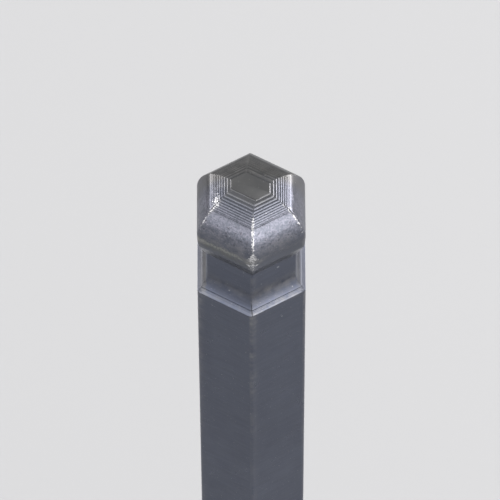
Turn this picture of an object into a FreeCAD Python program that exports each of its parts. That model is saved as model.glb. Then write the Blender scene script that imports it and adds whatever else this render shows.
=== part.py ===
"""Sliding T-handle driver with a ball-ended hexagonal blade.

The tool stands on the flat end of its hub with the blade upright, so +Z runs along the blade to the
tip, +X along the tee bar, and the origin is the centre of the hub's flat end.

A hexagonal steel blade is pressed and pinned into a turned hub. A round bar slides through the hub
and gives the leverage: it can be centred, or pushed to one side for reach. A spring-loaded ball in
the hub runs in a groove along the bar's underside, so the bar stays where it is put and can't turn.
Each end of the bar carries a knurled knob, held by a screw, and a rubber ring that cushions the stop.

Lengths are in millimetres.
"""

import FreeCAD, Part

import math
import os

from FreeCAD import Vector

X = Vector(1, 0, 0)
Y = Vector(0, 1, 0)
Z = Vector(0, 0, 1)

# ---- Driving dimensions ----

ACROSS_FLATS = 5.0
BLADE_OUT = 100.0  # blade standing out of the hub
BAR_R = 3.0
BAR_LENGTH = 84.0
BAR_Z = 14.0  # height of the bar's axis
HUB_R = 7.0
HUB_HEIGHT = 31.0
BALL_R = 2.0  # detent ball
RUNNING_GAP = 0.03  # radial clearance of a moving fit
SNUG_GAP = 0.005  # radial clearance of parts that stay put
FLAT_EDGE = 0.1  # an edge that rises less than this is taken as lying flat

# ---- Ball end of the blade: depths run down from the tip, offsets out from the blade's axis ----

BALL_WIDTH = 0.99 * ACROSS_FLATS  # across the ball's flats, cut a little under the bar's
FEED = 0.0126 * BALL_WIDTH  # height of one cutter step
STEPS = 12
WIDEST_DEPTH = 0.458 * BALL_WIDTH
CROWN_R = 0.4725 * BALL_WIDTH  # curve of each face above its widest point
TURN_DEPTH = 0.600 * BALL_WIDTH  # where the slow curve below it ends in a straight taper
TURN_OFFSET = 0.487 * BALL_WIDTH  # half the width there
UNDER_OFFSET = 0.4968 * BALL_WIDTH  # half the width midway down that curve
CREASE_DEPTH = 0.795 * BALL_WIDTH  # where the taper meets the neck
NECK_OFFSET = 0.4133 * BALL_WIDTH
NECK_END_DEPTH = 1.157 * BALL_WIDTH
SWEEP_R = 0.2 * BALL_WIDTH  # hollow curve below the neck
SWEEP_TURN = math.radians(45)
LEDGE = 0.012 * BALL_WIDTH  # tool mark between the hollow curve and the shoulder
SHOULDER_DEPTH = 1.348 * BALL_WIDTH
CORNER_R = 0.568 * ACROSS_FLATS  # the bar stock's corners are trimmed to this radius

# Opposite faces are cut together, and the three cuts don't quite line up. Each is its turn about the
# blade, how much higher its rounded face sits, and how much deeper its shoulder does.
FACE_CUTS = (
    (0, 0.011 * BALL_WIDTH, 0.0),
    (60, -0.005 * BALL_WIDTH, 0.006 * BALL_WIDTH),
    (120, 0.005 * BALL_WIDTH, -0.006 * BALL_WIDTH),
)

# ---- Hub ----

HUB_NECK_R = 4.6
HUB_BODY_TOP = 20.0
HUB_NECK_START = 25.5
COLLAR_R = 5.2
COLLAR_HEIGHT = 2.6
COLLAR_EDGE = 0.5
HUB_EDGE = 0.8
HUB_SHOULDER_BULGE = Vector(0.62, 0, 0.5)  # of the curve from the body to the neck, at its middle
BORE_MOUTH_R = 0.3
POCKET_DEPTH = 12.5
PIN_Z = 26.8
PIN_R = 1.0
PIN_WALL = 0.35
PIN_SLOT = 0.4
PIN_EDGE = 0.2
PIN_RECESS = 0.15  # from the hub's neck to the pin's end

# ---- Detent ----

GROOVE_DEPTH = 0.35
GROOVE_HALF = 28.5
DETENT_BORE_R = 2.1
DETENT_SCREW_R = 2.5
DETENT_SCREW_BASE = 0.6
DETENT_SCREW_LENGTH = 4.0
DETENT_SOCKET_AF = 2.5
DETENT_SOCKET_DEPTH = 2.0
SCREW_EDGE = 0.3  # chamfer of a screw's thread
SPRING_MEAN_R = 1.35
SPRING_WIRE_R = 0.22
SPRING_PITCH = 0.72
SPRING_END_GAP = 0.05

# ---- Ends of the bar ----

BAR_EDGE = 0.4
KNOB_R = 5.0
KNOB_LENGTH = 9.0
KNOB_END_WALL = 3.5
KNOB_ROUND = 1.0
KNOB_INNER_EDGE = 0.5
KNURL_COUNT = 36
KNURL_DEPTH = 0.28
KNURL_MARGIN = 1.6
KNURL_SHARE = 0.8  # of the pitch that a groove takes up at the cutter's top
KNURL_OVERCUT = 0.2  # how far the cutter stands out of the knob
SCREW_R = 1.5
SCREW_REACH = 6.0  # screw thread inside the bar
TAP_RUNOUT = 1.0  # depth of the tapped hole past the screw
SCREW_HOLE_GAP = 0.1
SCREW_HEAD_R = 2.75
SCREW_HEAD_HEIGHT = 2.0
SCREW_HEAD_GAP = 0.15
SCREW_HEAD_EDGE = 0.25
SCREW_HEAD_SINK = 0.1  # of the head's top below the knob's end
SCREW_SOCKET_AF = 2.0
SCREW_SOCKET_DEPTH = 1.2
RING_CORD_R = 0.75
RING_SINK = 0.4  # depth of the ring's groove
RING_GAP = 0.35  # from the ring to the knob

TIP_Z = HUB_HEIGHT + BLADE_OUT
KNOB_X = BAR_LENGTH / 2 + KNOB_END_WALL - KNOB_LENGTH  # inner face of the knob
RING_X = KNOB_X - RING_GAP - RING_CORD_R
RING_MEAN_R = BAR_R - RING_SINK + RING_CORD_R
BALL_Z = BAR_Z - BAR_R + GROOVE_DEPTH - BALL_R
DETENT_SCREW_TOP = DETENT_SCREW_BASE + DETENT_SCREW_LENGTH
SQRT3 = math.sqrt(3)


# ---- Shared shapes ----


def cylinder(radius, length, base, axis):
    return Part.makeCylinder(radius, length, base, axis)


def hexagon_prism(across_flats, length, base, axis):
    """A six-sided prism. Upright, it has a corner towards -Y and two flats square to X."""
    corner_r = across_flats / SQRT3
    corners = [
        Vector(corner_r * math.sin(math.radians(60 * i)), corner_r * math.cos(math.radians(60 * i)), 0)
        for i in range(7)
    ]
    prism = Part.Face(Part.makePolygon(corners)).extrude(Z * length)
    prism.Placement = FreeCAD.Placement(base, FreeCAD.Rotation(Z, axis))
    return prism


def revolved(edges, axis):
    """A solid of revolution about an axis through the origin, from edges that close with that axis."""
    return Part.Face(Part.Wire(edges)).revolve(Vector(0, 0, 0), axis, 360)


def polyline(points):
    return [Part.LineSegment(a, b).toShape() for a, b in zip(points, points[1:])]


def single_solid(shape):
    """The one solid of a cut or joined shape, without the compound around it."""
    (solid,) = shape.Solids
    return solid


def mirrored(shape):
    """The same piece at the other end of the bar."""
    return shape.mirror(Vector(0, 0, 0), X)


# ---- Blade ----


def crown_offset(depth):
    """How far a rounded face of the ball stands from the axis, above its widest point."""
    return BALL_WIDTH / 2 - CROWN_R + math.sqrt(CROWN_R**2 - (WIDEST_DEPTH - depth) ** 2)


def face_profile(lead, deeper):
    """Outline, in the XZ plane, of a pair of opposite faces. lead and deeper are as in FACE_CUTS."""

    def at(offset, depth):
        return Vector(offset, 0, TIP_Z - depth)

    steps = [at(crown_offset(lead), 0)]
    for step in range(1, STEPS + 1):
        steps.append(at(crown_offset((step - 1) * FEED + lead), step * FEED))
        steps.append(at(crown_offset(step * FEED + lead), step * FEED))
    crown_middle = (STEPS * FEED + lead + WIDEST_DEPTH) / 2
    widest = at(BALL_WIDTH / 2, WIDEST_DEPTH - lead)
    crown = Part.Arc(steps[-1], at(crown_offset(crown_middle), crown_middle - lead), widest).toShape()
    taper_top = at(TURN_OFFSET, TURN_DEPTH)
    under_middle = (WIDEST_DEPTH - lead + TURN_DEPTH) / 2
    under = Part.Arc(widest, at(UNDER_OFFSET, under_middle), taper_top).toShape()
    crease = at(NECK_OFFSET, CREASE_DEPTH)
    neck_end = at(NECK_OFFSET, NECK_END_DEPTH)
    sweep_middle, sweep_end = (
        neck_end + Vector(SWEEP_R * (1 - math.cos(turn)), 0, -SWEEP_R * math.sin(turn))
        for turn in (SWEEP_TURN / 2, SWEEP_TURN)
    )
    sweep = Part.Arc(neck_end, sweep_middle, sweep_end).toShape()
    ledge = sweep_end - Z * LEDGE
    shoulder = at(ACROSS_FLATS / 2, SHOULDER_DEPTH + deeper)
    foot = Vector(ACROSS_FLATS / 2, 0, HUB_HEIGHT - POCKET_DEPTH)

    side = polyline(steps) + [crown, under] + polyline([taper_top, crease, neck_end]) + [sweep]
    side += polyline([sweep_end, ledge, shoulder, foot])
    other_side = [edge.mirror(Vector(0, 0, 0), X) for edge in side]
    top = polyline([Vector(-steps[0].x, 0, TIP_Z), steps[0]])
    bottom = polyline([foot, Vector(-foot.x, 0, foot.z)])
    return Part.Wire(Part.__sortEdges__(side + other_side + top + bottom))


def hex_blade():
    """Hexagonal bar whose six faces are cut to the ball end's outline, two opposite faces at a time."""
    length = TIP_Z - HUB_HEIGHT + POCKET_DEPTH
    blade = cylinder(CORNER_R, length, Vector(0, 0, TIP_Z - length), Z)
    for turn, lead, deeper in FACE_CUTS:
        slab = Part.Face(face_profile(lead, deeper)).extrude(Y * 2 * ACROSS_FLATS)
        slab.translate(Y * -ACROSS_FLATS)
        slab.rotate(Vector(0, 0, 0), Z, turn)
        blade = blade.common(slab)
    return blade.cut(pin_hole())


# ---- Hub ----


def pin_hole():
    return cylinder(PIN_R + SNUG_GAP, 2 * HUB_R, Vector(0, -HUB_R, PIN_Z), Y)


def hub():
    """Turned head with the bar's bore, the blade's hexagonal pocket and the detent's bore."""
    body_top, neck_start = Vector(HUB_R, 0, HUB_BODY_TOP), Vector(HUB_NECK_R, 0, HUB_NECK_START)
    middle = (body_top + neck_start) * 0.5 + HUB_SHOULDER_BULGE
    collar_z = HUB_HEIGHT - COLLAR_HEIGHT
    lower = [Vector(0, 0, 0), Vector(HUB_R - HUB_EDGE, 0, 0), Vector(HUB_R, 0, HUB_EDGE), body_top]
    upper = [
        neck_start,
        Vector(HUB_NECK_R, 0, collar_z - COLLAR_EDGE),
        Vector(COLLAR_R, 0, collar_z),
        Vector(COLLAR_R, 0, HUB_HEIGHT - COLLAR_EDGE),
        Vector(COLLAR_R - COLLAR_EDGE, 0, HUB_HEIGHT),
        Vector(0, 0, HUB_HEIGHT),
        Vector(0, 0, 0),
    ]
    shoulder = Part.Arc(body_top, middle, neck_start).toShape()
    body = revolved(polyline(lower) + [shoulder] + polyline(upper), Z)

    body = body.cut(cylinder(BAR_R + RUNNING_GAP, 2 * HUB_R, Vector(-HUB_R, 0, BAR_Z), X))
    body = body.makeFillet(BORE_MOUTH_R, bore_mouths(body))
    pocket_base = Vector(0, 0, HUB_HEIGHT - POCKET_DEPTH)
    body = body.cut(hexagon_prism(ACROSS_FLATS + 2 * SNUG_GAP, POCKET_DEPTH, pocket_base, Z))
    body = body.cut(cylinder(DETENT_SCREW_R + SNUG_GAP, DETENT_SCREW_TOP, Vector(0, 0, 0), Z))
    body = body.cut(cylinder(DETENT_BORE_R, BAR_Z, Vector(0, 0, 0), Z))
    return body.cut(pin_hole())


def bore_mouths(body):
    """The edges where the bar's bore breaks out of the hub: the only ones that aren't lines or arcs."""
    return [edge for edge in body.Edges if edge.Curve.TypeId == "Part::GeomBSplineCurve"]


def blade_pin():
    """Slotted spring pin through the hub and the blade."""
    half = HUB_NECK_R - PIN_RECESS
    tube = cylinder(PIN_R, 2 * half, Vector(0, -half, PIN_Z), Y)
    rims = [edge for edge in tube.Edges if edge.BoundBox.YLength < FLAT_EDGE]
    tube = tube.makeChamfer(PIN_EDGE, rims)
    tube = tube.cut(cylinder(PIN_R - PIN_WALL, 2 * half, Vector(0, -half, PIN_Z), Y))
    slot = Part.makeBox(PIN_R, 2 * half, PIN_SLOT, Vector(0, -half, PIN_Z - PIN_SLOT / 2))
    return tube.cut(slot)


# ---- Detent ----


def detent_ball():
    return Part.makeSphere(BALL_R, Vector(0, 0, BALL_Z))


def detent_spring():
    """Compression spring between the set screw and the ball."""
    ball_contact = BALL_Z - math.sqrt(BALL_R**2 - SPRING_MEAN_R**2)
    start = DETENT_SCREW_TOP + SPRING_WIRE_R + SPRING_END_GAP
    height = ball_contact - SPRING_END_GAP - SPRING_WIRE_R - start
    helix = Part.makeHelix(SPRING_PITCH, height, SPRING_MEAN_R)
    section = Part.Wire(Part.makeCircle(SPRING_WIRE_R, Vector(SPRING_MEAN_R, 0, 0), Y))
    spring = Part.Wire(helix).makePipeShell([section], True, True)
    spring.translate(Z * start)
    return Part.Solid(spring) if spring.ShapeType == "Shell" else spring


def detent_screw():
    """Set screw that closes the detent's bore and carries the spring."""
    base = Vector(0, 0, DETENT_SCREW_BASE)
    screw = cylinder(DETENT_SCREW_R, DETENT_SCREW_LENGTH, base, Z)
    rims = [edge for edge in screw.Edges if edge.BoundBox.ZLength < FLAT_EDGE]
    screw = screw.makeChamfer(SCREW_EDGE, rims)
    return screw.cut(hexagon_prism(DETENT_SOCKET_AF, DETENT_SOCKET_DEPTH, base, Z))


# ---- Bar ----


def groove_tool():
    """The ball's track, with round ends."""
    radius = BALL_R + RUNNING_GAP
    start = Vector(-GROOVE_HALF, 0, BALL_Z)
    tool = cylinder(radius, 2 * GROOVE_HALF, start, X)
    for end in (-GROOVE_HALF, GROOVE_HALF):
        tool = tool.fuse(Part.makeSphere(radius, Vector(end, 0, BALL_Z)))
    return tool


def tee_bar():
    """Round bar with the detent's groove, a seat for each rubber ring and a tapped hole in each end."""
    bar = cylinder(BAR_R, BAR_LENGTH, Vector(-BAR_LENGTH / 2, 0, BAR_Z), X)
    rims = [edge for edge in bar.Edges if edge.BoundBox.XLength < FLAT_EDGE]
    bar = bar.makeChamfer(BAR_EDGE, rims)
    bar = bar.cut(groove_tool())
    for side in (-1, 1):
        seat = Part.makeTorus(RING_MEAN_R, RING_CORD_R + RUNNING_GAP, Vector(side * RING_X, 0, BAR_Z), X)
        end = Vector(side * BAR_LENGTH / 2, 0, BAR_Z)
        hole = cylinder(SCREW_R + SNUG_GAP, SCREW_REACH + TAP_RUNOUT, end, X * -side)
        bar = bar.cut(seat).cut(hole)
    return bar


def knob():
    """Knurled cap on the right-hand end of the bar."""
    end_x = KNOB_X + KNOB_LENGTH
    profile = [
        Vector(KNOB_X, 0, 0),
        Vector(KNOB_X, 0, KNOB_R - KNOB_INNER_EDGE),
        Vector(KNOB_X + KNOB_INNER_EDGE, 0, KNOB_R),
        Vector(end_x - KNOB_ROUND, 0, KNOB_R),
    ]
    round_mid = Vector(end_x, 0, KNOB_R) - (X + Z) * KNOB_ROUND * (1 - math.sqrt(0.5))
    round_end = Vector(end_x, 0, KNOB_R - KNOB_ROUND)
    rounding = Part.Arc(profile[-1], round_mid, round_end).toShape()
    closing = polyline([round_end, Vector(end_x, 0, 0), profile[0]])
    cap = revolved(polyline(profile) + [rounding] + closing, X)
    cap = cap.cut(knurl_tool())
    cap.translate(Z * BAR_Z)
    bar_end = Vector(BAR_LENGTH / 2, 0, BAR_Z)
    cap = cap.cut(cylinder(BAR_R + SNUG_GAP, KNOB_LENGTH, bar_end, X * -1))
    cap = cap.cut(cylinder(SCREW_R + SCREW_HOLE_GAP, KNOB_LENGTH, bar_end, X))
    head_seat = Vector(end_x - SCREW_HEAD_HEIGHT, 0, BAR_Z)
    return cap.cut(cylinder(SCREW_HEAD_R + SCREW_HEAD_GAP, KNOB_LENGTH, head_seat, X))


def knurl_tool():
    """Straight V-shaped grooves round the knob, about the X axis."""
    start, end = KNOB_X + KNURL_MARGIN, KNOB_X + KNOB_LENGTH - KNURL_MARGIN
    half_width = math.pi * KNOB_R / KNURL_COUNT * KNURL_SHARE
    groove = Part.Face(
        Part.makePolygon(
            [
                Vector(start, 0, KNOB_R - KNURL_DEPTH),
                Vector(start, half_width, KNOB_R + KNURL_OVERCUT),
                Vector(start, -half_width, KNOB_R + KNURL_OVERCUT),
                Vector(start, 0, KNOB_R - KNURL_DEPTH),
            ]
        )
    ).extrude(X * (end - start))
    turns = [360.0 * i / KNURL_COUNT for i in range(KNURL_COUNT)]
    return Part.Compound([groove.rotated(Vector(0, 0, 0), X, turn) for turn in turns])


def knob_screw():
    """Low-head socket screw through the right-hand knob into the bar."""
    head_top = KNOB_X + KNOB_LENGTH - SCREW_HEAD_SINK
    head_base = KNOB_X + KNOB_LENGTH - SCREW_HEAD_HEIGHT
    head = cylinder(SCREW_HEAD_R, head_top - head_base, Vector(head_base, 0, BAR_Z), X)
    rim = [edge for edge in head.Edges if edge.BoundBox.XMin > head_top - FLAT_EDGE]
    head = head.makeChamfer(SCREW_HEAD_EDGE, rim)
    tip_x = BAR_LENGTH / 2 - SCREW_REACH
    shank = cylinder(SCREW_R, head_base - tip_x, Vector(tip_x, 0, BAR_Z), X)
    point = [edge for edge in shank.Edges if edge.BoundBox.XMax < tip_x + FLAT_EDGE]
    screw = head.fuse(shank.makeChamfer(SCREW_EDGE, point)).removeSplitter()
    socket_base = Vector(head_top - SCREW_SOCKET_DEPTH, 0, BAR_Z)
    return screw.cut(hexagon_prism(SCREW_SOCKET_AF, SCREW_SOCKET_DEPTH, socket_base, X))


def bumper_ring():
    """Rubber ring that meets the hub before the right-hand knob does."""
    return Part.makeTorus(RING_MEAN_R, RING_CORD_R, Vector(RING_X, 0, BAR_Z), X)


# ---- Assembly ----


def assembly():
    parts = {
        "hex_blade": hex_blade(),
        "hub": hub(),
        "blade_pin": blade_pin(),
        "detent_ball": detent_ball(),
        "detent_spring": detent_spring(),
        "detent_screw": detent_screw(),
        "tee_bar": tee_bar(),
    }
    for name, shape in (("knob", knob()), ("knob_screw", knob_screw()), ("bumper_ring", bumper_ring())):
        parts[name + "_right"] = shape
        parts[name + "_left"] = mirrored(shape)
    return parts


def main():
    os.makedirs("parts", exist_ok=True)
    for name, result in assembly().items():
        shape = single_solid(result)
        shape.exportStep(f"parts/{name}.step")
        print(f"{name}: {shape.ShapeType} valid={shape.isValid()} volume={shape.Volume:.2f}")
    print(f"bar travel to the stop: {RING_X - RING_CORD_R - HUB_R:.2f}")


main()
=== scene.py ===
"""Looks of the ball-end hexagon driver: a worn, black-oxided blade standing in a turned hub, with a
sliding tee bar. Lengths are in metres; those of the blade's end are in widths across the ball's flats."""

import math

import bmesh
import bpy
from mathutils import Matrix, Vector, noise


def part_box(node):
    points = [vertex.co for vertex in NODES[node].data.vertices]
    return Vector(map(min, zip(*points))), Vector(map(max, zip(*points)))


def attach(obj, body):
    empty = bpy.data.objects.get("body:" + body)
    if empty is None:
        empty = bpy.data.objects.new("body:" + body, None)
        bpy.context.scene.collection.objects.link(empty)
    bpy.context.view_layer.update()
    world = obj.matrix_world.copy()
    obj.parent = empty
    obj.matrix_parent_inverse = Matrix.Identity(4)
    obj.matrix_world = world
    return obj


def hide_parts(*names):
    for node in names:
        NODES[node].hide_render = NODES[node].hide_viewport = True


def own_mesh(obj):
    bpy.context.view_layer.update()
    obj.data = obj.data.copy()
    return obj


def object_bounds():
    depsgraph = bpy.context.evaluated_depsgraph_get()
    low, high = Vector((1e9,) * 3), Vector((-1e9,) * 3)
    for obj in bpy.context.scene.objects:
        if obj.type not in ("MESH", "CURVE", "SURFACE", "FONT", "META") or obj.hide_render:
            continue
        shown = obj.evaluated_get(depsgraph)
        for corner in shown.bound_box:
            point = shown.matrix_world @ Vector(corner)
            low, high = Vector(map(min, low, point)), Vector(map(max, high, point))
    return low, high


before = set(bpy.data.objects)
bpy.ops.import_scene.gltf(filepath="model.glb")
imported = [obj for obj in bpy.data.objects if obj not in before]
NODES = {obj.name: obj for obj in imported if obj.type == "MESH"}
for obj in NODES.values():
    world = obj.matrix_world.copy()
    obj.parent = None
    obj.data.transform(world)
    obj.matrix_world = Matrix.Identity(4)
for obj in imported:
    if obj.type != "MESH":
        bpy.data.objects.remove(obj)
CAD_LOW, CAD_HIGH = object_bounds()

BLADE_LOW, BLADE_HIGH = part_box("hex_blade")
BALL_SHARE = 0.990  # the ball's width across flats over the shank's
WIDTH = (BLADE_HIGH.x - BLADE_LOW.x) * BALL_SHARE  # across the ball's flats
TIP = Vector((0, 0, BLADE_HIGH.z))

# ---------------------------------------------------------------- shader helpers


class Shader:
    """A node material built by name: node("Type", Input_Name=value or socket, _0=the first input, ...)."""

    def __init__(self, name):
        self.material = bpy.data.materials.new(name)
        self.material.use_nodes = True
        self.tree = self.material.node_tree
        self.tree.nodes.clear()
        self.output = self.tree.nodes.new("ShaderNodeOutputMaterial")

    def node(self, kind, settings=None, **inputs):
        made = self.tree.nodes.new("ShaderNode" + kind)
        for key, value in (settings or {}).items():
            setattr(made, key, value)
        for key, value in inputs.items():
            self.feed(made.inputs[int(key[1:]) if key[0] == "_" else key.replace("_", " ")], value)
        return made

    def feed(self, socket, value):
        if isinstance(value, bpy.types.NodeSocket):
            self.tree.links.new(value, socket)
        else:
            socket.default_value = value

    def coords(self, scale=(1, 1, 1)):
        place = self.node("TexCoord").outputs["Object"]
        return self.node("Mapping", Vector=place, Scale=scale).outputs[0]

    def noise(self, size, detail=3.0, rough=0.5, stretch=(1, 1, 1)):
        """Noise with features about size across, in metres."""
        where = self.coords([s / size for s in stretch])
        return self.node("TexNoise", Vector=where, Scale=1.0, Detail=detail, Roughness=rough).outputs["Fac"]

    def ramp(self, fac, low, high, start=0.0, end=1.0):
        """Linear map of fac from low..high to start..end, clamped."""
        span = {"From_Min": low, "From_Max": high, "To_Min": start, "To_Max": end}
        return self.node("MapRange", {"clamp": True}, Value=fac, **span).outputs[0]

    def math(self, operation, a, b=0.0):
        return self.node("Math", {"operation": operation}, _0=a, _1=b).outputs[0]

    def mix(self, fac, a, b):
        made = self.node("Mix", {"data_type": "RGBA"}, _0=fac)
        self.feed(made.inputs[6], a)
        self.feed(made.inputs[7], b)
        return made.outputs[2]

    def bump(self, height, distance, strength=1.0, normal=None):
        made = self.node("Bump", Height=height, Distance=distance, Strength=strength)
        if normal is not None:
            self.feed(made.inputs["Normal"], normal)
        return made.outputs[0]

    def dot(self, middle, size):
        """1 at a place on the surface, falling to 0 at size from it."""
        place = self.node("TexCoord").outputs["Object"]
        away = self.node("VectorMath", {"operation": "DISTANCE"}, _0=place, _1=middle).outputs["Value"]
        return self.ramp(away, size, size * 0.4)

    def attribute(self, name):
        return self.node("Attribute", {"attribute_name": name}).outputs["Fac"]

    def finish(self, **inputs):
        surface = self.node("BsdfPrincipled", **inputs)
        self.tree.links.new(surface.outputs[0], self.output.inputs["Surface"])
        return self.material


def colour(red, green, blue):
    return (red, green, blue, 1.0)


# ---------------------------------------------------------------- materials

OXIDE = ((0.078, 0.088, 0.122), (0.092, 0.104, 0.141))  # darkest and palest
PLAIN = ((0.122, 0.122, 0.121), (0.136, 0.136, 0.135))  # the same, where the blue is gone
GROOVES = (0.04, 0.045, 0.055)
TARNISH = (0.092, 0.099, 0.098)
# painted highlight: the pale line where the ball's arc meets its taper, at its widest
SEAM_HIGHLIGHT = (0.250, 0.255, 0.232)
SCUFFED = (0.154, 0.156, 0.190)
# half-bare metal on rubbed corners and round the burr, and also painted light where bands of the faces are
# lightened
RUBBED_AND_PAINTED_LIGHT = (0.27, 0.265, 0.26)
PITS = (0.05, 0.05, 0.06)
# painted shade: black laid over the base colour where the blade should look shaded
PAINTED_SHADE_BLACK = (0.0, 0.0, 0.0)
NICK = (0.30, 0.31, 0.34)
BARE_METAL = (0.60, 0.60, 0.61)
SPECKS = (  # middle of each bright nick in the oxide, from the tip, and its size, both in widths
    ((0.244, -0.336, -0.867), 0.017),
    ((-0.205, -0.364, -1.220), 0.012),
    ((-0.205, -0.403, -0.250), 0.013),
    ((0.090, -0.425, -1.020), 0.008),
    ((0.281, -0.415, -1.589), 0.012),
    ((0.272, -0.420, -1.560), 0.009),
)


def blade_steel():
    """Blue-black oxide on machined steel, painted by the blade's own vertex layers.

    wear is bare metal; the rub layer is half-bare metal on the corners and round the burr, with lighter
    bands and painted light on bands of the faces; grey takes the blue away; the dark layer is painted shade,
    black put along tool marks and on the back faces, flanks and rims; dull is rougher metal; scuff is a
    speckled face; tarnish is a brown film; and the seam layer is a painted highlight, the thin pale line
    where the end is widest.
    """
    s = Shader("blade_steel")
    cloud = s.ramp(s.noise(0.0030, 4.0, 0.6, (1, 1, 0.35)), 0.35, 0.68)
    grain = s.noise(0.00010, 2.0, 0.6)
    blotch = s.noise(0.00045, 3.0, 0.6)
    rings = s.noise(0.00009, 2.0, 0.6, (0.06, 0.06, 1))  # cutter marks, level round the blade
    speckle = s.math("ADD", s.math("MULTIPLY", grain, 0.65), s.math("MULTIPLY", blotch, 0.35))
    pits = s.ramp(s.noise(0.00013, 1.0), 0.64, 0.72, 0.0, 0.7)

    def broken(layer, pattern):
        """A vertex layer broken up by a pattern."""
        return s.math("MULTIPLY", s.attribute(layer), pattern)

    blue, plain = (s.mix(cloud, colour(*tones[0]), colour(*tones[1])) for tones in (OXIDE, PLAIN))
    base = s.mix(s.attribute("grey"), blue, plain)
    base = s.mix(s.ramp(rings, 0.35, 0.65, 0.0, 0.22), base, colour(*GROOVES))
    base = s.mix(broken("tarnish", s.ramp(blotch, 0.35, 0.6)), base, colour(*TARNISH))
    # painted highlight along the widest line
    base = s.mix(broken("seam_highlight", s.ramp(grain, 0.35, 0.6)), base, colour(*SEAM_HIGHLIGHT))
    base = s.mix(broken("scuff", s.ramp(speckle, 0.43, 0.60)), base, colour(*SCUFFED))
    # rubbed metal, and painted light on bands of the faces
    base = s.mix(broken("rub_and_painted_light", s.ramp(blotch, 0.3, 0.7)), base, colour(*RUBBED_AND_PAINTED_LIGHT))
    base = s.mix(broken("scuff", pits), base, colour(*PITS))
    # painted shade: black mixed in where the blade's shade layer asks for it
    base = s.mix(s.attribute("painted_shade"), base, colour(*PAINTED_SHADE_BLACK))
    for middle, size in SPECKS:
        base = s.mix(s.dot(TIP + Vector(middle) * WIDTH, size * WIDTH), base, colour(*NICK))
    fray = s.math("MULTIPLY", s.math("SUBTRACT", s.noise(0.00006, 1.0), 0.5), 2.0)
    worn_edge = s.math("ADD", s.attribute("wear"), fray)
    base = s.mix(s.ramp(worn_edge, 0.45, 0.85), base, colour(*BARE_METAL))
    rough = s.ramp(s.noise(0.0009, 3.0), 0.3, 0.7, 0.27, 0.36)
    rough = s.math("ADD", rough, s.math("MULTIPLY", s.attribute("dull"), 0.20))
    tooled = s.bump(s.noise(0.00022, 2.0, 0.5, (1, 1, 0.06)), 0.000005, 0.35)
    peened = s.bump(s.noise(0.00030, 2.0), 0.000022, s.attribute("scuff"), tooled)
    normal = s.bump(grain, 0.000004, 0.4, peened)
    return s.finish(Base_Color=base, Metallic=1.0, Roughness=rough, Normal=normal)


def turned_steel(name, low, high, rough, axis_stretch, metallic=1.0):
    """Steel with fine lathe lines; axis_stretch squeezes the noise along the turning axis."""
    s = Shader(name)
    cloud = s.noise(0.004, 3.0)
    lines = s.noise(0.00030, 2.0, 0.6, axis_stretch)
    base = s.mix(s.ramp(cloud, 0.3, 0.7), colour(*low), colour(*high))
    normal = s.bump(lines, 0.000008, 0.5)
    spread = s.ramp(lines, 0.3, 0.7, rough - 0.04, rough + 0.06)
    return s.finish(Base_Color=base, Metallic=metallic, Roughness=spread, Normal=normal)


def rubber(name):
    s = Shader(name)
    grain = s.noise(0.0002, 3.0, 0.6)
    base = s.mix(grain, colour(0.012, 0.012, 0.012), colour(0.03, 0.03, 0.03))
    return s.finish(Base_Color=base, Roughness=0.62, Normal=s.bump(grain, 0.00001, 0.6))


MATERIALS = {
    "blade_steel": blade_steel(),
    "hub_steel": turned_steel("hub_steel", (0.10, 0.105, 0.12), (0.14, 0.145, 0.16), 0.30, (0.15, 0.15, 4)),
    "pin_steel": turned_steel("pin_steel", (0.35, 0.35, 0.36), (0.45, 0.45, 0.45), 0.35, (1, 1, 1)),
    "bar_steel": turned_steel("bar_steel", (0.50, 0.50, 0.51), (0.60, 0.60, 0.60), 0.22, (4, 0.15, 0.15)),
    "knob_steel": turned_steel("knob_steel", (0.09, 0.095, 0.11), (0.13, 0.135, 0.15), 0.33, (3, 0.2, 0.2)),
    "screw_steel": turned_steel("screw_steel", (0.05, 0.05, 0.055), (0.08, 0.08, 0.085), 0.38, (1, 1, 1)),
    "ball_steel": turned_steel("ball_steel", (0.70, 0.70, 0.71), (0.76, 0.76, 0.76), 0.10, (1, 1, 1)),
    "spring_steel": turned_steel("spring_steel", (0.40, 0.40, 0.41), (0.50, 0.50, 0.50), 0.30, (1, 1, 1)),
    "ring_rubber": rubber("ring_rubber"),
}


# ---------------------------------------------------------------- shape of the worn blade

# Depths are from the tip and offsets from the axis.
FEED = 0.0126  # height of a cutter step
STEPS = 12  # they fade out over the last ones
SHARP_STEPS = 8
STEPS_END = STEPS * FEED
BEND, FOOT = 0.15, 0.94  # shares of a step's height: where its lip turns down and where its foot ends
RISER = 0.0045  # half the width of a step's slope
BEND_RISER = 0.0018  # how far inside the crown the bend is
INSET = 0.0037  # how far the steps lie inside the crown, on average
WIDEST = 0.458
CROWN_R = 0.4725
TURN, TURN_OFFSET = 0.600, 0.487  # where the slow curve below the widest line ends in a straight taper
CREASE = 0.795  # where the taper meets the neck
NECK = 0.4133
NECK_END = 1.157
SWEEP_R = 0.2
SWEEP_TURN = math.radians(45)
SWEEP_END = NECK_END + SWEEP_R * math.sin(SWEEP_TURN)
SWEEP_OFFSET = NECK + SWEEP_R * (1 - math.cos(SWEEP_TURN))
LEDGE = 0.012
SHOULDER = 1.348
SHANK = 0.5 / BALL_SHARE
FOOT_DEPTH = (BLADE_HIGH.z - BLADE_LOW.z) / WIDTH

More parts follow.
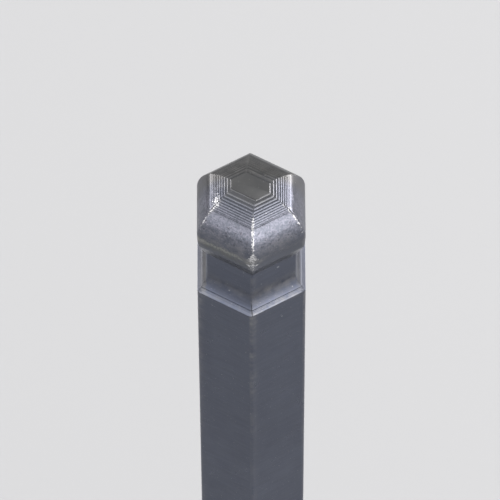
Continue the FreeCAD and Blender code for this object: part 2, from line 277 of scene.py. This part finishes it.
LEADS = (0.011, -0.005, 0.005)  # how much higher each pair of faces is cut
DEEPER = (0.0, 0.006, -0.006)  # and how much deeper its shoulder is
KEEN = (1.0, 0.87, 0.87)  # how square its steps are
BACK_RIGHT_FACE, BACK_LEFT_FACE, FRONT_LEFT_FACE, FRONT_RIGHT_FACE = 1, 2, 4, 5
BACK_RIGHT, BACK, BACK_LEFT, FRONT_LEFT, FRONT, FRONT_RIGHT = range(6)  # corners, as seen by the user
BACK_SKEW, BACK_SKEW_END = -0.020, 0.12  # how far the back faces lean in at the tip, and how far down
FRONT_SKEW = 0.006  # how far the front faces are turned to the right
SKEW_START, SKEW_END, SKEW_FADE = 0.3, 1.2, 0.6
OFF_CENTRE = Vector((-0.006, 0.0))  # how far the tip sits from the axis
OFF_CENTRE_END = 0.3

FINE, COARSE = 0.006, 0.02  # gaps between rings
FINE_END = 0.90
NECK_RINGS, SWEEP_RINGS, UPPER_RINGS, LOWER_RINGS = 13, 12, 60, 90
SHOULDER_LINES = (1.3165, 1.327)  # depths of fine tool marks across the shoulder, drawn as lines of painted shade
SHOULDER_RINGS = (1.3165, 1.322, 1.327, 1.333, 1.338, 1.3421, 1.348, 1.3541, 1.36, 1.368)
SHANK_START = 1.38
ROUND_STOPS = (0.0, 0.25, 0.5, 0.75, 1.0)  # places round a corner
SIDE_STOPS = (0.03, 0.07, 0.13, 0.22, 0.35, 0.5, 0.65, 0.78, 0.87, 0.93, 0.97)  # and across a face


def rise(value, start, length):
    """0 up to start, then a straight climb to 1 over length."""
    return min(1.0, max(0.0, (value - start) / length))


def fall(value, end, length):
    """A straight drop from 1 to 0 over length, ending at end."""
    return min(1.0, max(0.0, (end - value) / length))


def bell(value, middle, reach):
    return math.exp(-(((value - middle) / reach) ** 2))


def ragged(corner, depth, scale, seed):
    """Repeatable noise, from -1 to 1, along one corner of the blade."""
    return noise.noise(Vector((corner * 7.3 + seed, depth / scale, 0.5 * seed)))


def skew(face, depth):
    """How far out of true a face of the ball is."""
    if face in (BACK_RIGHT_FACE, BACK_LEFT_FACE):
        return BACK_SKEW * fall(depth, BACK_SKEW_END, BACK_SKEW_END)
    if face == FRONT_LEFT_FACE:
        return -FRONT_SKEW * rise(depth, 0.0, SKEW_START) * fall(depth, SKEW_END, SKEW_FADE)
    return FRONT_SKEW * fall(depth, SKEW_END, SKEW_FADE) if face == FRONT_RIGHT_FACE else 0.0


def crown(depth):
    """Offset of a rounded face above its widest point."""
    return 0.5 - CROWN_R + math.sqrt(CROWN_R**2 - (WIDEST - depth) ** 2)


def under_ball(depth):
    """Offset of a face below its widest point: a slow curve, then a straight taper to the neck."""
    if depth < TURN:
        return 0.5 - (0.5 - TURN_OFFSET) * ((depth - WIDEST) / (TURN - WIDEST)) ** 2
    return max(NECK, TURN_OFFSET - (TURN_OFFSET - NECK) * (depth - TURN) / (CREASE - TURN))


def lower_offset(depth, pair):
    """Offset of a face below the steps."""
    if depth < WIDEST:
        left = (WIDEST - depth) / (WIDEST - STEPS_END)
        return crown(depth + LEADS[pair] * left) - INSET * left
    if depth < NECK_END:
        return under_ball(depth)
    if depth < SWEEP_END:
        return NECK + SWEEP_R - math.sqrt(SWEEP_R**2 - (depth - NECK_END) ** 2)
    if depth < SWEEP_END + LEDGE:
        return SWEEP_OFFSET
    slope = (depth - SWEEP_END - LEDGE) / (SHOULDER + DEEPER[pair] - SWEEP_END - LEDGE)
    return min(SHANK, SWEEP_OFFSET + slope * (SHANK - SWEEP_OFFSET))


def step_rings():
    """(depth, offsets of the three pairs of faces) of each ring, down to the end of the steps."""
    rings = []
    for step in range(STEPS):
        top = step * FEED
        lip, bend, foot = [], [], []
        for lead, keen in zip(LEADS, KEEN):
            here = crown(top + lead)
            cut, next_cut = (fall(s, STEPS - 1, STEPS - SHARP_STEPS) * keen for s in (step, step + 1))
            bend_crown = crown(top + FEED * BEND + lead) - INSET
            foot_crown = crown(top + FEED * FOOT + lead) - INSET
            lip.append(here - RISER * cut - INSET * (1 - cut))
            bend.append(bend_crown * (1 - cut) + (here - BEND_RISER) * cut)
            foot.append(foot_crown * (1 - next_cut) + (here + RISER) * next_cut)
        rings += [(top, lip), (top + FEED * BEND, bend), (top + FEED * FOOT, foot)]
    return rings


def evenly(start, gap, count):
    return [start + i * gap for i in range(count)]


def smooth_rings():
    """The rest of the blade, with rings close together where the wear shows."""
    depths = evenly(STEPS_END, FINE, int((FINE_END - STEPS_END) / FINE))
    depths += evenly(FINE_END, COARSE, NECK_RINGS)
    depths += evenly(NECK_END, (SWEEP_END - NECK_END) / SWEEP_RINGS, SWEEP_RINGS + 1)
    depths += [SWEEP_END + LEDGE * 0.99, SWEEP_END + LEDGE * 1.05]  # just inside and outside its edge
    depths += SHOULDER_RINGS
    depths += evenly(SHANK_START, COARSE, UPPER_RINGS)
    gap = (FOOT_DEPTH - depths[-1]) / LOWER_RINGS
    depths += evenly(depths[-1] + gap, gap, LOWER_RINGS)
    return [(depth, tuple(lower_offset(depth, pair) for pair in range(3))) for depth in depths]


def ring_corners(depth, offsets):
    """Where the six faces would meet at a depth if their corners were sharp."""
    shift = OFF_CENTRE * fall(depth, OFF_CENTRE_END, OFF_CENTRE_END)
    corners = []
    for face in range(6):
        after = (face + 1) % 6
        a, b = math.radians(60 * face), math.radians(60 * face + 60)
        one = offsets[face % 3] + skew(face, depth)
        two = offsets[after % 3] + skew(after, depth)
        turn = math.sin(b - a)
        across = (one * math.sin(b) - two * math.sin(a)) / turn
        along = (two * math.cos(a) - one * math.cos(b)) / turn
        corners.append(Vector((across, along)) + shift)
    return corners


# ---------------------------------------------------------------- wear, painted light and painted shade of the blade

# A mark is (how strong it is, the depth where it is strongest, how far it reaches). Where there are two,
# they are for the left and the right half of the blade.
BURR = (1.0, 0.46, 0.075)
BURR_TOP, BURR_RISE, BURR_END, BURR_FALL = 0.45, 0.08, 0.80, 0.35  # depths of the metal smeared round it
BURR_BARE, BURR_BARE_REACH = 0.72, 0.028
BURR_RUB, BURR_RUB_REACH = 1.1, 0.05
SIDE_CORNER_WEAR = (0.034, 0.46, 0.10)
FRESH_SHANK = (0.25, 1.44, 0.12)
# The next marks lighten the blade: the first is a lighter band on the crown, the next six are painted light,
# lighter bands on the taper, the sweep, the right face, the shoulder, the side sweeps and the seam's left
# end, and the last makes lighter lines on the back faces' step lips.
CROWN_LIGHTER = (0.30, 0.37, 0.09)
TAPER_PAINTED_LIGHT = (0.30, 0.70, 0.07)
SWEEP_PAINTED_LIGHT = (0.28, 1.18, 0.085)
RIGHT_FACE_PAINTED_LIGHT = (0.30, 1.16, 0.10)
SHOULDER_PAINTED_LIGHT = ((0.18, 1.335, 0.025), (0.48, 1.335, 0.025))
SIDE_SWEEP_PAINTED_LIGHT = ((0.22, 1.23, 0.08), (0.08, 1.23, 0.08))
SEAM_END_PAINTED_LIGHT = (0.8, 0.47, 0.035)
LIP_LIGHTER = 0.9
BACK_GREY = (1.0, 0.0, 0.5)
BALL_GREY = (0.40, 0.0, 0.45)
TIP_GREY = (0.9, 0.0, 0.045)
SIDE_SWEEP_GREY = ((0.65, 1.24, 0.12), (0.35, 1.24, 0.12))
# The next marks are painted shade: black put on a band in the sweep, on the flanks where the steps end, on
# the back faces, on the side faces' rims, along the shoulder's tool-mark lines and on the first lip.
SWEEP_SHADE = (0.36, 1.272, 0.032)
STEPS_END_SHADE = ((0.46, 0.145, 0.050), (0.36, 0.145, 0.050))
BACK_SHADE, LINE_SHADE, FIRST_LIP_SHADE = 0.25, 0.30, 0.45
RIM_SHADE = (0.30, 0.45)
CROWN_DULL = (1.0, 0.34, 0.11)
SWEEP_DULL = (1.0, 1.21, 0.07)
SCUFF = (1.0, 0.22, 0.17)
FILM = (1.0, 0.50, 0.06)
# where the painted highlight along the widest line runs, how wide it is and how much it wavers
SEAM_DEPTH, SEAM_REACH, SEAM_WAVE = 0.455, 0.030, 0.02
FILM_RIGHT, SEAM_RIGHT = 0.1, 0.12  # how much is left of each on the right

FRAY_LENGTH, FRAY_SEED = 0.03, 5  # of the unevenness along a corner
LINE_STOP, NECK_START = 0.75, 0.85  # depths where the ball's worn corners end and the neck's rub begins
SHANK_TRIM, SHANK_RUB, LEAST_SHANK_RUB, SHANK_FALL = 0.019, 0.40, 0.35, 3
FRONT_LINE = ((0.02, 0.08), (0.62, 0.08))  # start and rise, then end and fall, of a corner's bare line
SIDE_LINE = ((0.04, 0.03), (0.42, 0.15))
SHARP_TRIM, NECK_TRIM, FRONT_NECK_TRIM, BURR_TRIM = 0.004, 0.006, 0.012, 0.072  # widths trimmed off
NECK_RUB, SIDE_RUB, BACK_RUB, BACK_BARE = 0.45, 0.3, 0.7, 0.10
SCAR_FALL = 0.8

TINY = 0.001
FIRST_LIP_END, FIRST_LIP_RIGHT = 0.006, 0.08
SIDE_EDGE = 0.425  # beyond this the neck and sweep belong to the side faces
SEAM_END_EDGE = -0.43
RIM_EDGE, RIM_TOP = 0.472, 1.28  # the side faces' outer strip, above the shoulder
FLANK = 0.012  # how near a side face's offset its surface is
BACK_FADE = 0.125
LEFT_END, LEFT_FADE = 0.125, 0.25
ROUND_END_WEAR = 0.7  # wear where a rounded corner meets its faces, over that in its middle
BARE_SPREAD, RUB_SPREAD = 26, 11  # how fast the wear fades across a face

SCARS = (  # middle and reach of each bare patch, from the tip, and how bare it is
    ((-0.318, -0.125, -0.074), (0.050, 0.095, 0.065), 0.85),
    ((-0.355, -0.19, -0.11), (0.03, 0.035, 0.05), 0.65),
    ((0.345, -0.19, -0.12), (0.02, 0.03, 0.05), 0.5),
)
# the second layer carries rubbed metal and painted light, the fourth painted shade, the last a painted
# highlight
LAYERS = ("wear", "rub_and_painted_light", "grey", "painted_shade", "dull", "scuff", "tarnish", "seam_highlight")


def mark(depth, place):
    """How strong a mark is at a depth."""
    strength, middle, reach = place
    return strength * bell(depth, middle, reach)


def scar(spot):
    """How bare the scars leave a place."""
    most = 0.0
    for middle, reach, bare in SCARS:
        away = math.sqrt(sum(((spot[i] - middle[i]) / reach[i]) ** 2 for i in range(3)))
        most = max(most, bare * (1 - away * SCAR_FALL))
    return most


def fray(corner, depth):
    return ragged(corner, depth, FRAY_LENGTH, FRAY_SEED)


def bare_line(depth, line):
    start, end = line
    return rise(depth, *start) * fall(depth, *end)


def shank_corner(corner, depth):
    width = SHANK_TRIM + 0.004 * ragged(corner, depth, 0.06, 6)
    rub_and_painted_light = SHANK_RUB + mark(depth, FRESH_SHANK) + 0.4 * fray(corner, depth)
    return width, 0.0, rub_and_painted_light * max(LEAST_SHANK_RUB, math.exp(-(depth - SHOULDER) / SHANK_FALL))


def front_corner(corner, depth):
    """The ball's most worn corner: a bare line that ends in a burr."""
    uneven = fray(corner, depth)
    line = bare_line(depth, FRONT_LINE)
    burr = mark(depth, BURR)
    lumps = 1 + 0.3 * ragged(corner, depth, 0.012, 4)
    width = SHARP_TRIM + line * (0.0035 + 0.0015 * uneven) + BURR_TRIM * burr * lumps
    return width, line * (0.85 + 0.5 * uneven - 0.60 * burr), burr


def side_corner(corner, depth):
    uneven = fray(corner, depth)
    line = bare_line(depth, SIDE_LINE)
    width = SHARP_TRIM + line * (0.006 + 0.003 * uneven) + mark(depth, SIDE_CORNER_WEAR)
    return width, line * (0.55 + 0.5 * uneven), SIDE_RUB


def back_corner(corner, depth):
    width = NECK_TRIM + 0.002 * fray(corner, depth)
    return width, BACK_BARE, BACK_RUB if corner == BACK else SIDE_RUB


def corner_wear(corner, depth):
    """(width trimmed off a corner, how bare it is, how rubbed it is) at a depth."""
    if depth > SHOULDER:
        return shank_corner(corner, depth)
    if corner == FRONT and depth > NECK_START:
        return FRONT_NECK_TRIM, 0.0, NECK_RUB
    if depth > LINE_STOP:
        return NECK_TRIM, 0.0, 0.0
    if corner in (BACK_LEFT, BACK, BACK_RIGHT):
        return back_corner(corner, depth)
    return front_corner(corner, depth) if corner == FRONT else side_corner(corner, depth)


def worn_ring(corners, depth):
    """(place, how bare, how rubbed) all the way round a ring, with its corners rounded off."""
    ring = []
    for corner, here in enumerate(corners):
        before, after = corners[corner - 1], corners[(corner + 1) % 6]
        width, bare, rub_and_painted_light = corner_wear(corner, depth)
        next_width, next_bare, _ = corner_wear((corner + 1) % 6, depth)
        near = here + (before - here).normalized() * width
        far = here + (after - here).normalized() * width
        stop = after + (here - after).normalized() * next_width
        for s in ROUND_STOPS:
            both = 1 if 0 < s < 1 else ROUND_END_WEAR
            edge = {FRONT_LEFT: s, FRONT_RIGHT: 1 - s}.get(corner, both)
            ring.append((near.lerp(here, s).lerp(here.lerp(far, s), s), bare * edge, rub_and_painted_light * edge))
        for s in SIDE_STOPS:
            from_here, from_next = max(0.0, 1 - s * BARE_SPREAD), max(0.0, 1 - (1 - s) * BARE_SPREAD)
            side_bare = max(bare * from_here, next_bare * from_next) * 0.5
            ring.append((far.lerp(stop, s), side_bare, rub_and_painted_light * max(0.0, 1 - s * RUB_SPREAD)))
    return ring


def paint(spot, depth, side_offset, front, bare, rub_and_painted_light):
    """How much of each layer a place has; bare and rub are its corner's, front is the front corner's x."""
    flat = float(depth < TINY)
    right = spot.x > 0
    side = abs(spot.x) > SIDE_EDGE
    flank = abs(spot.x) > side_offset - FLANK
    rim = abs(spot.x) > RIM_EDGE and RIM_TOP < depth < SHOULDER
    lined = any(abs(depth - line) < TINY for line in SHOULDER_LINES) and not rim
    lip = depth < STEPS_END and abs(depth / FEED - round(depth / FEED)) < 0.01
    first_lip = TINY < depth < FIRST_LIP_END and spot.x < FIRST_LIP_RIGHT and spot.y < 0
    behind = rise(spot.y, 0.0, BACK_FADE) * mark(depth, BACK_GREY) * (1 - flat)
    left = fall(spot.x, LEFT_END, LEFT_FADE)
    smear = bell(depth, BURR_TOP, BURR_RISE) if depth < BURR_TOP else fall(depth, BURR_END, BURR_FALL)
    smear *= spot.y < 0
    # painted light on bands of the faces, a lighter band on the crown, and the metal smeared round the burr
    painted_light_and_smear = (
        mark(depth, CROWN_LIGHTER)
        + mark(depth, TAPER_PAINTED_LIGHT)
        + mark(depth, SWEEP_PAINTED_LIGHT)
        + mark(depth, RIGHT_FACE_PAINTED_LIGHT) * (right and not side)
        + mark(depth, SHOULDER_PAINTED_LIGHT[right]) * (not rim)
        + mark(depth, SIDE_SWEEP_PAINTED_LIGHT[right]) * side
        + mark(depth, SEAM_END_PAINTED_LIGHT) * (spot.x < SEAM_END_EDGE)
        + BURR_RUB * bell(spot.x, front, BURR_RUB_REACH * smear + TINY) * smear
    )
    burr = BURR_BARE * smear * bell(spot.x, front, BURR_BARE_REACH)
    seam_depth = SEAM_DEPTH + SEAM_WAVE * ragged(1, spot.x, 0.05, 9)
    return {
        "wear": max(bare, burr, scar((spot.x, spot.y, -depth))),
        # rubbed corners and burr, painted light on bands of the faces, and lighter step lips behind
        "rub_and_painted_light": min(1.0, max(rub_and_painted_light, painted_light_and_smear, LIP_LIGHTER * lip * (behind > 0))) * (1 - flat),
        "grey": max(
            flat,
            behind,
            mark(depth, BALL_GREY),
            mark(depth, TIP_GREY),
            mark(depth, SIDE_SWEEP_GREY[right]) * side,
        ),
        # painted shade
        "painted_shade": max(
            mark(depth, SWEEP_SHADE),
            mark(depth, STEPS_END_SHADE[right]) * flank,
            BACK_SHADE * behind,
            RIM_SHADE[right] * rim,
            LINE_SHADE * lined,
            FIRST_LIP_SHADE * first_lip,
        ),
        "dull": mark(depth, CROWN_DULL) + mark(depth, SWEEP_DULL),
        "scuff": mark(depth, SCUFF) * (1 - flat) * (1 - behind),
        "tarnish": (FILM_RIGHT + (1 - FILM_RIGHT) * left) * mark(depth, FILM),
        # painted highlight
        "seam_highlight": (SEAM_RIGHT + (1 - SEAM_RIGHT) * left) * bell(depth, seam_depth, SEAM_REACH),
    }


def worn_blade():
    """The blade's six faces and six rounded corners, ring by ring from the tip to the foot."""
    mesh = bmesh.new()
    layers = {name: mesh.verts.layers.float.new(name) for name in LAYERS}
    previous = None
    for depth, offsets in step_rings() + smooth_rings():
        corners = ring_corners(depth, offsets)
        made = []
        for spot, bare, rub_and_painted_light in worn_ring(corners, depth):
            vert = mesh.verts.new(TIP + Vector((spot.x, spot.y, -depth)) * WIDTH)
            for name, amount in paint(spot, depth, offsets[0], corners[FRONT].x, bare, rub_and_painted_light).items():
                vert[layers[name]] = amount
            made.append(vert)
        if previous:
            for i in range(len(made)):
                j = (i + 1) % len(made)
                mesh.faces.new((previous[i], made[i], made[j], previous[j]))
        else:
            mesh.faces.new(made)
        previous = made
    mesh.faces.new(reversed(previous))
    data = bpy.data.meshes.new("worn_blade")
    mesh.to_mesh(data)
    mesh.free()
    blade = bpy.data.objects.new("worn_blade", data)
    bpy.context.scene.collection.objects.link(blade)
    data.materials.append(MATERIALS["blade_steel"])
    for face in data.polygons:
        face.use_smooth = True
    data.polygons[0].use_smooth = False  # the flat on the tip
    data.set_sharp_from_angle(angle=math.radians(30))
    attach(blade, "handle")
    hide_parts("hex_blade")


worn_blade()


# ---------------------------------------------------------------- CAD nodes


def dress(name, material, edge=0.0):
    """Gives a CAD node its material and softens its edges."""
    node = NODES[name]
    node.data.materials.clear()
    node.data.materials.append(MATERIALS[material])
    if edge:
        bevel = node.modifiers.new("soft edges", "BEVEL")
        bevel.width = edge
        bevel.segments = 2
        bevel.limit_method = "ANGLE"
        bevel.angle_limit = math.radians(35)
        bevel.harden_normals = True


dress("hub", "hub_steel", 0.00012)
dress("blade_pin", "pin_steel")
dress("tee_bar", "bar_steel")
dress("detent_ball", "ball_steel")
dress("detent_screw", "screw_steel")
for side in ("left", "right"):
    dress("knob_" + side, "knob_steel", 0.00006)
    dress("knob_screw_" + side, "screw_steel")
    dress("bumper_ring_" + side, "ring_rubber")


def squeezable_spring():
    """A copy of the CAD node's coil, in its own mesh and spring steel."""
    spring = bpy.data.objects.new("coil_spring", NODES["detent_spring"].data.copy())
    bpy.context.scene.collection.objects.link(spring)
    spring.data.materials.clear()
    spring.data.materials.append(MATERIALS["spring_steel"])
    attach(spring, "handle")
    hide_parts("detent_spring")
    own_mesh(spring)


squeezable_spring()


# ---------------------------------------------------------------- stage, light and camera


def floor():
    mesh = bpy.data.meshes.new("floor")
    half = 4.0
    corners = [(-half, -half, 0), (half, -half, 0), (half, half, 0), (-half, half, 0)]
    mesh.from_pydata(corners, [], [(0, 1, 2, 3)])
    ground = bpy.data.objects.new("floor", mesh)
    ground.location.z = CAD_LOW.z - 0.00002
    bpy.context.scene.collection.objects.link(ground)
    pale = colour(0.372, 0.376, 0.381)
    matt = Shader("floor").finish(Base_Color=pale, Roughness=0.9, Specular_IOR_Level=0.1)
    mesh.materials.append(matt)


def softbox(name, direction, distance, size, power, tint=(1, 1, 1)):
    """An area light that faces the blade's tip from a direction, unseen by the camera."""
    light = bpy.data.lights.new(name, "AREA")
    light.shape = "RECTANGLE"
    light.size, light.size_y = size
    light.energy = power
    light.color = tint
    lamp = bpy.data.objects.new(name, light)
    away = Vector(direction).normalized()
    lamp.location = TIP + away * distance
    lamp.rotation_mode = "QUATERNION"
    lamp.rotation_quaternion = away.to_track_quat("Z", "Y")
    lamp.visible_camera = False
    bpy.context.scene.collection.objects.link(lamp)


def lighting():
    world = bpy.data.worlds.new("studio")
    world.use_nodes = True
    back = world.node_tree.nodes["Background"]
    back.inputs["Color"].default_value = colour(0.99, 0.99, 1.0)
    back.inputs["Strength"].default_value = 0.95
    bpy.context.scene.world = world
    softbox("key", (0.71, -0.64, 0.24), 0.5, (0.36, 0.34), 1.85, (1.0, 0.975, 0.95))
    softbox("fill", (-0.71, -0.64, 0.24), 0.5, (0.36, 0.34), 0.82, (1.0, 0.975, 0.96))
    softbox("right_edge", (0.82, 0.545, 0.19), 0.5, (0.30, 0.24), 2.7, (1.0, 0.97, 0.97))
    softbox("left_edge", (-0.82, 0.545, 0.19), 0.5, (0.30, 0.24), 1.6, (1.0, 0.97, 0.97))
    softbox("top", (0.2, -0.25, 1.0), 1.2, (0.9, 0.9), 2.5)


ELEVATION = math.radians(56.95)
DISTANCE = 48.0 * WIDTH
ROLL = math.radians(-0.297)
AIM = Vector((-0.0125, -0.5982)) * WIDTH  # the picture's centre from the tip, right and up
LENS_FACTOR = 109.35 * 48.0 / 500  # focal length over the sensor's width
SENSOR = 36.0


def camera():
    lens = bpy.data.cameras.new("camera")
    lens.sensor_width = SENSOR
    lens.lens = SENSOR * LENS_FACTOR
    lens.clip_start, lens.clip_end = 0.01, 20
    eye = bpy.data.objects.new("camera", lens)
    right = Vector((1, 0, 0))
    up = Vector((0, math.sin(ELEVATION), math.cos(ELEVATION)))
    back = Vector((0, -math.cos(ELEVATION), math.sin(ELEVATION)))
    turn = Matrix((right, up, back)).transposed()
    place = TIP + right * AIM.x + up * AIM.y + back * DISTANCE
    eye.matrix_world = Matrix.Translation(place) @ (turn @ Matrix.Rotation(ROLL, 3, "Z")).to_4x4()
    bpy.context.scene.collection.objects.link(eye)
    bpy.context.scene.camera = eye


floor()
lighting()
camera()
bpy.context.scene.view_settings.view_transform = "Standard"
